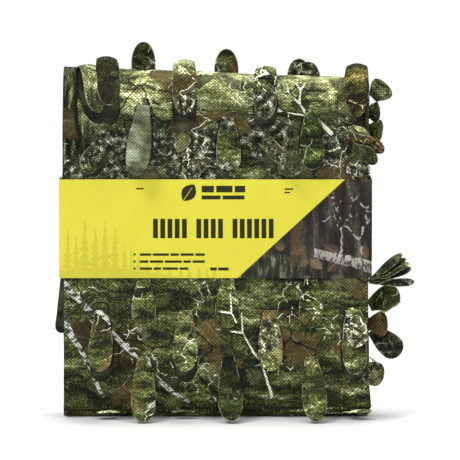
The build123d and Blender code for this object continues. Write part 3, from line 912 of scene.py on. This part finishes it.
def weave(p, at):
    """The coarse basket weave of the cloth, as small diamonds from 0 to 1."""
    one, other = [p.math("SINE", p.math("MULTIPLY", part, 2 * math.pi / WEAVE)) for part in p.xy(at)]
    return p.math("MULTIPLY_ADD", p.math("MULTIPLY", one, other), 0.5, 0.5)


CONTRAST, GAIN = 1.28, 2.3  # of the whole print

# Places on the cloth in metres: across the pack, and up from the front fold.
BIRCH_LIMBS = [
    ((-0.175, 0.118), (-0.120, 0.012), 0.0040),
    ((-0.165, 0.135), (-0.062, 0.030), 0.0036),
    ((-0.062, 0.030), (-0.030, 0.004), 0.0034),
]


def bush(start, heading, length, width, forks, rng):
    """The strokes of a bare bush: a twig that forks, and forks again."""
    end = start[0] + length * math.sin(heading), start[1] + length * math.cos(heading)
    made = [(start, end, width)]
    if forks:
        for turn in (-1, 1):
            bend = turn * rng.uniform(0.35, 0.75) + rng.uniform(-0.15, 0.15)
            made += bush(end, heading + bend, length * rng.uniform(0.62, 0.85), width * 0.78, forks - 1, rng)
    return made


twig_rng = np.random.default_rng(7)
PALE_TWIGS = bush((0.122, 0.288), -0.85, 0.034, 0.0025, 3, twig_rng)
PALE_TWIGS += bush((0.058, 0.010), -0.25, 0.044, 0.0018, 2, twig_rng)
PALE_TWIGS += bush((0.062, 0.318), 0.1, 0.026, 0.0014, 1, twig_rng)
PALE_TWIGS += [((-0.088, 0.356), (-0.066, 0.285), 0.0012)]
# Places on the band in metres: across it, and up.
CROWN = bush((0.157, 0.160), -0.18, 0.029, 0.0017, 3, twig_rng)
CROWN += bush((0.130, 0.176), 0.05, 0.024, 0.0014, 3, twig_rng)


def leaf_rim_painted_highlight(p, colour, at):
    """A painted highlight: pale patches along a leaf's cut edge, here and there."""
    rim = p.node("ShaderNodeAttribute", 2, {"attribute_name": "rim"})
    frayed = p.step(0.42, 0.56, p.noise(at, 90.0, 2.0))
    return p.mix(p.both(p.step(0.0010, 0.0003, rim), frayed), colour, (0.30, 0.31, 0.21))


def creases(p, at):
    """Small soft creases in the cloth, in metres."""
    return p.math("MULTIPLY", p.noise(at, 48.0, 3.0, 0.5), 0.004)


def camo_print(name, shift=(0.0, 0.0), tint=(1, 1, 1), leaf=True, full=False):
    """A woodland print: mossy bark and grass, fallen leaves, lichen, twigs and birch limbs."""
    p = Surface(name, 0.88)
    uv = p.place_on_print()
    across, path = p.xy(p.vector("ADD", uv, (*shift, 0)))
    up = p.math("PINGPONG", path, CREST_PATH)
    at = p.node("ShaderNodeCombineXYZ", X=across, Y=up)
    wander = p.wander(at, 16.0, 3.0)
    warped, bent = p.warp(at, wander, 0.030), p.warp(at, wander, 0.012)
    patch = p.noise(at, 11.0, 2.0)
    grain = p.noise(at, 330.0, 3.0, 0.75)
    speckle = p.noise(at, 130.0, 4.0, 0.7)

    # Moss and grass in streaks along the ground, and lighter ground over the roll, which is a painted
    # highlight on the roll's top.
    streaks = p.noise(warped, (17.0, 62.0), 8.0, 0.72)
    tone = p.blend(streaks, 0.66, grain)
    ground = p.ramp(
        tone, (0.38, (0.004, 0.005, 0.003)), (0.46, (0.024, 0.028, 0.010)), (0.53, (0.075, 0.084, 0.028)),
        (0.60, (0.17, 0.18, 0.085)), (0.68, (0.50, 0.52, 0.36)),
    )
    roll_tone = p.blend(p.noise(warped, (26.0, 60.0), 8.0, 0.7), 0.7, grain)
    # Painted highlight: the roll's streaks in much paler colours.
    roll_painted_highlight = p.ramp(
        roll_tone, (0.38, (0.018, 0.019, 0.010)), (0.47, (0.14, 0.15, 0.065)), (0.55, (0.34, 0.36, 0.18)),
        (0.66, (0.85, 0.88, 0.62)),
    )
    lift = p.math("MULTIPLY_ADD", patch, 0.05, up)
    colour = p.mix(p.step(0.335, 0.362, lift), ground, roll_painted_highlight)

    # Rough woodland floor between the roll and the band: near black with pale lichen.
    floor = p.ramp(
        p.blend(speckle, 0.7, grain),
        (0.40, (0.006, 0.006, 0.005)), (0.50, (0.045, 0.046, 0.027)), (0.57, (0.14, 0.14, 0.095)),
        (0.64, (0.38, 0.39, 0.36)), (0.74, (0.62, 0.64, 0.66)),
    )
    upper = p.both(p.between(0.235, 0.322, 0.012, lift), p.step(0.38, 0.52, p.noise(at, 19.0, 3.0)))
    colour = p.mix(upper, colour, floor)

    # Bark, in upright ridges, at the left end.
    ridges = p.noise(bent, (140.0, 24.0), 7.0, 0.7)
    bark = p.ramp(
        ridges, (0.42, (0.005, 0.005, 0.004)), (0.52, (0.030, 0.032, 0.016)), (0.60, (0.13, 0.14, 0.055)),
        (0.70, (0.34, 0.35, 0.22)),
    )
    at_left = p.step(-0.112, -0.128, p.math("MULTIPLY_ADD", patch, 0.03, across))
    colour = p.mix(p.both(at_left, p.step(0.25, 0.27, up)), colour, bark)

    # Fallen leaves of two sizes: brown ones, and small mossy ones.
    for cell, share, low, high in (
        (0.056, 0.36, (0.036, 0.030, 0.011), (0.120, 0.094, 0.036)),
        (0.027, 0.22, (0.026, 0.034, 0.010), (0.17, 0.17, 0.09)),
    ):
        lies, rib, pick = p.litter(bent, cell, share)
        shaded = p.mix(pick, low, high)
        shaded = p.mix(p.math("MULTIPLY", rib, 0.4), shaded, (0.26, 0.23, 0.11))
        shading = p.ramp(tone, (0.38, (0.25,) * 3), (0.62, (1.3,) * 3))
        shaded = p.mix(0.75, shaded, shading, "MULTIPLY")
        where = p.math("MULTIPLY", p.step(0.42, 0.47, p.noise(at, 13.0, 1.0)), 0.93)
        colour = p.mix(p.both(lies, where), colour, shaded)

    # Twigs: a dark net, a pale net that shows here and there, and a few long pale ones.
    net = p.both(p.web(warped, 0.034, 0.0011), p.step(0.45, 0.6, patch))
    colour = p.mix(net, colour, (0.010, 0.010, 0.007))
    tangled = p.warp(bent, p.wander(at, 75.0, 2.0), 0.010)
    shows = p.both(p.step(0.56, 0.62, p.noise(at, 17.0, 1.0)), p.step(0.40, 0.50, p.noise(at, 120.0, 1.0)))
    twig = p.both(p.web(tangled, 0.016, 0.00065), p.math("MULTIPLY", shows, 0.85))
    if full:
        twig = p.math("MAXIMUM", twig, p.math("MULTIPLY", p.strokes(bent, *PALE_TWIGS), 0.92))
    colour = p.mix(twig, colour, p.mix(speckle, (0.30, 0.31, 0.22), (0.72, 0.74, 0.62)))

    # Birch limbs with dark flecks across them.
    flecks = p.step(0.57, 0.48, p.noise(warped, (90.0, 230.0), 5.0, 0.65))
    birch = p.mix(flecks, (0.045, 0.045, 0.03), p.mix(speckle, (0.16, 0.16, 0.14), (0.55, 0.56, 0.52)))
    if full:
        colour = p.mix(p.strokes(bent, *BIRCH_LIMBS), colour, birch)

    cells = weave(p, uv)
    colour = p.node("ShaderNodeGamma", Color=colour, Gamma=CONTRAST)
    threads, gaps = [p.tinted(colour, (level,) * 3) for level in (GAIN * 1.12, GAIN * 0.22)]
    colour = p.mix(p.step(0.40, 0.85, cells), threads, gaps)
    colour = p.tinted(colour, tint)
    if leaf:
        # Painted highlight along the leaf's cut edge.
        colour = leaf_rim_painted_highlight(p, colour, at)
    height = p.math("MULTIPLY_ADD", cells, -0.0003, creases(p, at))
    return p.finish(colour, height, 1.0, 0.7)


def camo_back(name, tint=(1, 1, 1)):
    """The cloth's underside, where the print shows through, paler."""
    p = Surface(name, 0.9)
    uv = p.place_on_print()
    tone = p.noise(uv, (24.0, 50.0), 7.0, 0.65)
    colour = p.ramp(
        tone, (0.36, (0.035, 0.037, 0.02)), (0.48, (0.10, 0.105, 0.055)), (0.6, (0.24, 0.25, 0.15)),
        (0.72, (0.42, 0.43, 0.31)),
    )
    cells = weave(p, uv)
    colour = p.mix(p.step(0.35, 0.85, cells), colour, p.tinted(colour, (0.42, 0.42, 0.38)))
    colour = p.tinted(colour, tint)
    return p.finish(colour, p.math("MULTIPLY_ADD", cells, -0.0003, creases(p, uv)), 1.0, 0.7)


def card_ink(name, colour, roughness=0.38):
    """Printed card: even ink with a trace of the board's grain and a little rubbing."""
    p = Surface(name, roughness)
    at = p.node("ShaderNodeTexCoord", 3)
    grain = p.node("ShaderNodeTexNoise", Vector=at, Scale=420.0, Detail=3.0)
    rubbed = p.node("ShaderNodeTexNoise", Vector=at, Scale=23.0, Detail=4.0)
    shade = p.ramp(p.blend(rubbed, 0.6, grain), (0.35, (0.95,) * 3), (0.65, (1.0,) * 3))
    return p.finish(p.tinted(colour, shade), grain, 0.05 * MM, 0.25)


def card_scene():
    """The woodland picture on the band: bare trees, a fallen birch, a dry fern and grass."""
    p = Surface("band_woodland", 0.38)
    uv = p.place_on_print()
    across, up = p.xy(uv)
    bent = p.warp(uv, p.wander(uv, 30.0, 3.0), 0.010)
    grain = p.noise(uv, 420.0, 3.0, 0.7)
    trunks = p.noise(bent, (95.0, 13.0), 7.0, 0.65)
    colour = p.ramp(
        p.blend(trunks, 0.75, grain),
        (0.42, (0.006, 0.005, 0.003)), (0.52, (0.032, 0.027, 0.016)), (0.60, (0.10, 0.085, 0.055)),
        (0.70, (0.36, 0.33, 0.27)),
    )
    lies, rib, pick = p.litter(bent, 0.016, 0.5)
    leaves = p.mix(pick, (0.055, 0.028, 0.010), (0.25, 0.17, 0.09))
    low_part = p.step(0.195, 0.170, up)
    leaves = p.mix(p.math("MULTIPLY", rib, 0.6), leaves, (0.33, 0.28, 0.2))
    colour = p.mix(p.both(lies, low_part), colour, leaves)
    grass_tone = p.noise(bent, (210.0, 50.0), 5.0, 0.7)
    grass = p.ramp(
        grass_tone, (0.42, (0.008, 0.010, 0.005)), (0.54, (0.045, 0.060, 0.028)), (0.66, (0.30, 0.34, 0.20))
    )
    colour = p.mix(p.both(p.between(0.020, 0.090, 0.006, across), p.step(0.176, 0.168, up)), colour, grass)
    frayed = p.warp(bent, p.wander(uv, 110.0, 2.0), 0.006)
    colour = p.mix(p.strokes(frayed, *CROWN), colour, p.mix(grain, (0.25, 0.24, 0.20), (0.80, 0.78, 0.72)))
    rib_off = p.math("ABSOLUTE", p.math("MULTIPLY_ADD", up, -0.136, p.math("ADD", across, -0.05795)))
    fronds = p.math("SINE", p.math("MULTIPLY", p.math("SUBTRACT", up, rib_off), 2400.0))
    fern = p.both(p.stroke(uv, (0.086, 0.206), (0.080, 0.162), 0.0062), p.step(-0.7, 0.1, fronds))
    colour = p.mix(fern, colour, p.mix(grain, (0.06, 0.032, 0.012), (0.24, 0.14, 0.055)))
    log = p.stroke(bent, (0.182, 0.156), (0.104, 0.176), 0.0080)
    shade = p.math("MULTIPLY_ADD", p.math("MULTIPLY_ADD", across, 0.26, up), -42.0, 8.8, clamp=True)
    flecks = p.step(0.56, 0.49, p.noise(bent, (330.0, 90.0), 5.0, 0.65))
    birch = p.mix(flecks, (0.05, 0.04, 0.03), p.mix(shade, (0.46, 0.44, 0.39), (0.10, 0.085, 0.065)))
    colour = p.mix(log, p.tinted(colour, (0.66, 0.66, 0.66)), birch)
    return p.finish(colour, grain, 0.05 * MM, 0.25)


camo = camo_print("camo_print", leaf=False, full=True)
# The tabs' print, brightened by about a third over the cloth's: painted light on the lifted tabs.
leaf_face_painted_light = camo_print("camo_print_leaf_painted_light", (0.012, -0.021), (1.35, 1.35, 1.3), full=True)
# A copy of the print at about twice its brightness: painted light on the leaves that catch the lamps.
painted_light_print = camo_print("camo_print_painted_light", (0.21, 0.17), (2.1, 2.1, 1.8))
lichen = camo_back("camo_print_lichen", (1.7, 1.85, 1.95))
brown = camo_print("camo_print_brown", (0.37, -0.16), (1.20, 0.94, 0.64))
green = camo_print("camo_print_green", (0.83, -0.22), (0.55, 0.68, 0.44))
# A copy of the print at half its brightness: painted shade on the leaves that turn away from the lamps.
painted_shade_print = camo_print("camo_print_painted_shade", (1.27, -0.31), (0.50, 0.52, 0.46))
reverse = camo_print("camo_print_reverse", (0.45, 0.09), (1.0, 1.0, 0.95))
# The cloth's inner faces: the underside print darkened to under a third, which is painted shade in the slots
# and between the plies.
underside_painted_shade = camo_back("camo_underside", (0.30, 0.30, 0.27))
under_tan = camo_back("camo_underside_tan", (1.5, 1.25, 0.85))
# Leaves with other copies of the print: brown and green tints, and the copies with painted light and painted
# shade.
OTHER_FACES = {
    brown: (
        "leaf_corner_high_a", "leaf_crest_3_a", "leaf_crest_3_b", "leaf_edge_middle_a", "leaf_roll_4_a",
    ),
    green: ("leaf_high_3_a", "leaf_side_tuft_a", "leaf_edge_upper_a", "leaf_low_2_a"),
    painted_shade_print: (
        "leaf_crest_1_a", "leaf_crest_2_a", "leaf_roll_1_a", "leaf_side_tuft_b", "leaf_side_tuft_d",
        "leaf_edge_low_a", "leaf_corner_high_c",
    ),
    painted_light_print: ("leaf_middle_3_a", "leaf_middle_4_a"),
    lichen: ("leaf_high_1_a",),
}
FACES = {name: face for face, names in OTHER_FACES.items() for name in names}
TAN_UNDERSIDES = ("leaves_above_band_a", "leaf_corner_high_c", "leaf_edge_middle_a")
for piece in [cloth, *leaf_pieces]:
    tan = piece.name in TAN_UNDERSIDES
    piece.data.materials.append(camo if piece == cloth else FACES.get(piece.name, leaf_face_painted_light))
    piece.data.materials.append(under_tan if tan else underside_painted_shade if piece == cloth else reverse)
    piece.modifiers["thickness"].material_offset = 1

yellow = card_ink("band_yellow", (0.70, 0.645, 0.046))
tree = card_ink("band_tree", (0.585, 0.535, 0.042))
ink = card_ink("band_ink", (0.016, 0.015, 0.0))
photo = card_scene()
core = card_ink("band_core", (0.52, 0.50, 0.43), 0.8)
PRINTS = [yellow, tree, ink, photo, core]
YELLOW, TREE, INK, PHOTO = range(4)  # their places in that list; the core is the cut edge


# ---- What is printed on the band ----------------------------------------------------------------------
def bar(x, z, width, height):
    """A filled bar from its lower left corner, in millimetres, as an outline in metres."""
    return [(a * MM, b * MM) for a, b in ((x, z), (x + width, z), (x + width, z + height), (x, z + height))]


def words(x, z, height, widths, gap):
    """A row of bars that stand for words."""
    made = []
    for width in widths:
        made.append(bar(x, z, width, height))
        x += width + gap
    return made


def text(*rows):
    """Rows of such bars, in ink."""
    return [(shape, INK) for row in rows for shape in words(*row)]


def conifer(x, foot, height, width, rng, tiers=9):
    """A plain fir tree: tiers of drooping boughs, no two the same."""
    sides = []
    for side in (1, -1):
        edge = []
        for tier in range(tiers):
            low, high = foot + height * tier / tiers, foot + height * (tier + 1) / tiers
            wide = side * width / 2 * (1 - tier / tiers) * rng.uniform(0.55, 1.15)
            edge += [(x + wide, low), (x + wide * 0.35, high - height * 0.03)]
        sides.append(edge)
    outline = sides[0] + [(x, foot + height)] + sides[1][::-1]
    return [(a * MM, b * MM) for a, b in outline]


def leaf_mark(x, z, size):
    """A plain leaf, as the band's only emblem: its blade, and its rib on top."""
    t = np.linspace(0, 1, 13)
    half = size * 0.36 * np.sin(np.pi * t) ** 0.8
    c, s = math.cos(0.6), math.sin(0.6)
    turn = lambda a, b: ((x + a * c + b * s) * MM, (z - a * s + b * c) * MM)
    blade = [turn(h, size * (k - 0.5)) for h, k in zip(half, t)]
    blade += [turn(-h, size * (k - 0.5)) for h, k in list(zip(half, t))[::-1][1:-1]]
    foot, top = -0.62 * size, 0.3 * size
    rib = [turn(a, b) for a, b in ((-0.3, foot), (0.3, foot), (0.25, top), (-0.25, top))]
    return [(blade, INK), (rib, YELLOW)]


LOW, HIGH = band_low.z / MM, band_high.z / MM
DIAGONAL = [(135.5, HIGH), (170, HIGH), (170, LOW), (22.6, LOW)]
front_print = []
TREES, FIRST_TREE, LAST_TREE = 17, -157, 0
tree_rng = np.random.default_rng(5)
for index in range(TREES):
    x = FIRST_TREE + (LAST_TREE - FIRST_TREE) * (index + tree_rng.uniform(-0.3, 0.3)) / (TREES - 1)
    height = 12 + 58 * math.exp(-(((x + 130) / 46) ** 2)) * tree_rng.uniform(0.55, 1.05)
    x = max(x, FIRST_TREE)
    front_print.append((conifer(x, LOW, height, 7 + 0.2 * height, tree_rng), TREE))
HILL = [(-164.5, LOW), (-164.5, LOW + 9), (-110, LOW + 12), (-60, LOW + 5), (-30, LOW)]
for shape, colour in ((HILL, TREE), (DIAGONAL, PHOTO)):
    front_print.append(([(a * MM, b * MM) for a, b in shape], colour))
front_print += leaf_mark(-28.5, 238.5, 21)
front_print += text((-15, 238.8, 7, (13, 17, 11), 2.4), (-15, 231.4, 4.2, (20, 23), 2))
for start, letters in ((-66, 5), (-20.5, 4), (17.5, 6)):
    front_print += text((start, 190.5, 20.5, (5.1,) * letters, 2.5))
for row, widths in enumerate(((12, 17, 9, 14, 10), (9, 14, 18, 8, 13), (13, 8, 16, 9))):
    level = 172 - row * 7.4
    front_print += text((-86.5, level + 0.3, 2.2, (2.2,), 0), (-80, level, 2.6, widths, 1.6))
front_print += text((-6, 156.5, 3.2, (7, 11), 1.4), (-84, 242, 1.6, (8,), 1))
front_print += text((72, 241.5, 1.6, (9,), 1), (72, 238, 1.6, (6,), 1))

back_print = [([(-0.17, LOW * MM), (-0.09, LOW * MM), (-0.13, HIGH * MM), (-0.17, HIGH * MM)], PHOTO)]
for row, widths in enumerate(((24, 15, 30, 12), (16, 28, 20, 18), (30, 12, 22), (18, 22, 16, 20), (12, 26))):
    back_print += text((-60, 222 - row * 9, 3, widths, 2))
back_print += leaf_mark(95, 200, 30)

everywhere = [(-1, -1), (1, -1), (1, 1), (-1, 1)]
for node, facing, body, regions in (
    ("band_front", (0, -1, 0), "band_front", front_print),
    ("band_right_side", (1, 0, 0), "pack", [(everywhere, PHOTO)]),
    ("band_back", (0, 1, 0), "pack", back_print),
    ("band_glue_tab", (-1, 0, 0), "pack", []),
    ("band_left_flap", (-1, 0, 0), "band_left_flap", []),
):
    panel_low, panel_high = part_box(node)
    card_panel(node + "_panel", panel_low, panel_high, facing, regions, PRINTS, body)

glue = Surface("glue", 0.3)
glue_at = glue.node("ShaderNodeTexCoord", 3)
glue_tone = glue.node("ShaderNodeTexNoise", Vector=glue_at, Scale=300.0, Detail=2.0)
glue.finish(glue.ramp(glue_tone, (0.3, (0.50, 0.47, 0.36)), (0.7, (0.66, 0.63, 0.5))), glue_tone, 0.1 * MM)
glue_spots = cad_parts["band_glue_spots"].data
glue_spots.materials.clear()
glue_spots.materials.append(glue.material)
floor_paint = Surface("floor_paint", 0.9)
floor_grain = floor_paint.node("ShaderNodeTexNoise", Scale=9.0, Detail=2.0)
floor_paint.finish(floor_paint.ramp(floor_grain, (0.3, (0.90, 0.90, 0.90)), (0.7, (0.93, 0.93, 0.93))))


# ---- Floor, light and camera --------------------------------------------------------------------------
def stage_disc(radius, sides=64):
    """A pale round floor, whose edge is lost in the white all round."""
    angles = np.arange(sides) * 2 * np.pi / sides
    points = [(0, 0, 0)] + [(radius * math.cos(a), radius * math.sin(a), 0) for a in angles]
    faces = [(0, i + 1, (i + 1) % sides + 1) for i in range(sides)]
    floor = mesh_object("floor", points, faces, [p[:2] for p in points])
    floor.data.materials.append(floor_paint.material)


def soft_light(name, place, size, power, target=(0, 0, 0.18)):
    """A large square lamp, aimed at the object."""
    lamp = bpy.data.lights.new(name, "AREA")
    lamp.size, lamp.energy = size, power
    holder = bpy.data.objects.new(name, lamp)
    holder.location = place
    holder.rotation_euler = (Vector(target) - Vector(place)).to_track_quat("-Z", "Y").to_euler()
    bpy.context.scene.collection.objects.link(holder)


FLOOR_RADIUS = 1.1
stage_disc(FLOOR_RADIUS)
soft_light("key", (-1.3, -1.7, 2.7), 1.0, 50)
soft_light("fill", (1.7, -1.8, 2.7), 1.4, 12)
soft_light("top", (0.2, 0.3, 2.8), 1.4, 46)
soft_light("rear", (-0.3, 2.2, 2.7), 1.4, 24)

# White all round and below, and dimmer overhead, so that the lamps shape the object.
world = bpy.data.worlds.new("studio")
world.use_nodes = True
nodes, links = world.node_tree.nodes, world.node_tree.links
direction = nodes.new("ShaderNodeSeparateXYZ")
links.new(nodes.new("ShaderNodeTexCoord").outputs["Generated"], direction.inputs[0])
dimming = nodes.new("ShaderNodeMapRange")
links.new(direction.outputs[2], dimming.inputs["Value"])
for field, value in (("From Min", 0.25), ("From Max", 0.5), ("To Min", 1.02), ("To Max", 0.3)):
    dimming.inputs[field].default_value = value
nodes["Background"].inputs["Color"].default_value = (1, 1, 1, 1)
links.new(dimming.outputs[0], nodes["Background"].inputs["Strength"])
bpy.context.scene.world = world
bpy.context.scene.view_settings.view_transform = "Standard"

VIEW_WIDTH, DISTANCE, SENSOR, RISE = 0.483, 5.0, 36, math.radians(5)
AIM = Vector((14.8, -30, 199.3)) * MM
lens = bpy.data.cameras.new("camera")
lens.sensor_width = SENSOR
lens.lens = SENSOR * DISTANCE / VIEW_WIDTH
lens.clip_start, lens.clip_end = 0.1, 20
camera = bpy.data.objects.new("camera", lens)
camera.location = AIM + Vector((0, -math.cos(RISE), math.sin(RISE))) * DISTANCE
camera.rotation_euler = (AIM - camera.location).to_track_quat("-Z", "Y").to_euler()
bpy.context.scene.collection.objects.link(camera)
bpy.context.scene.camera = camera
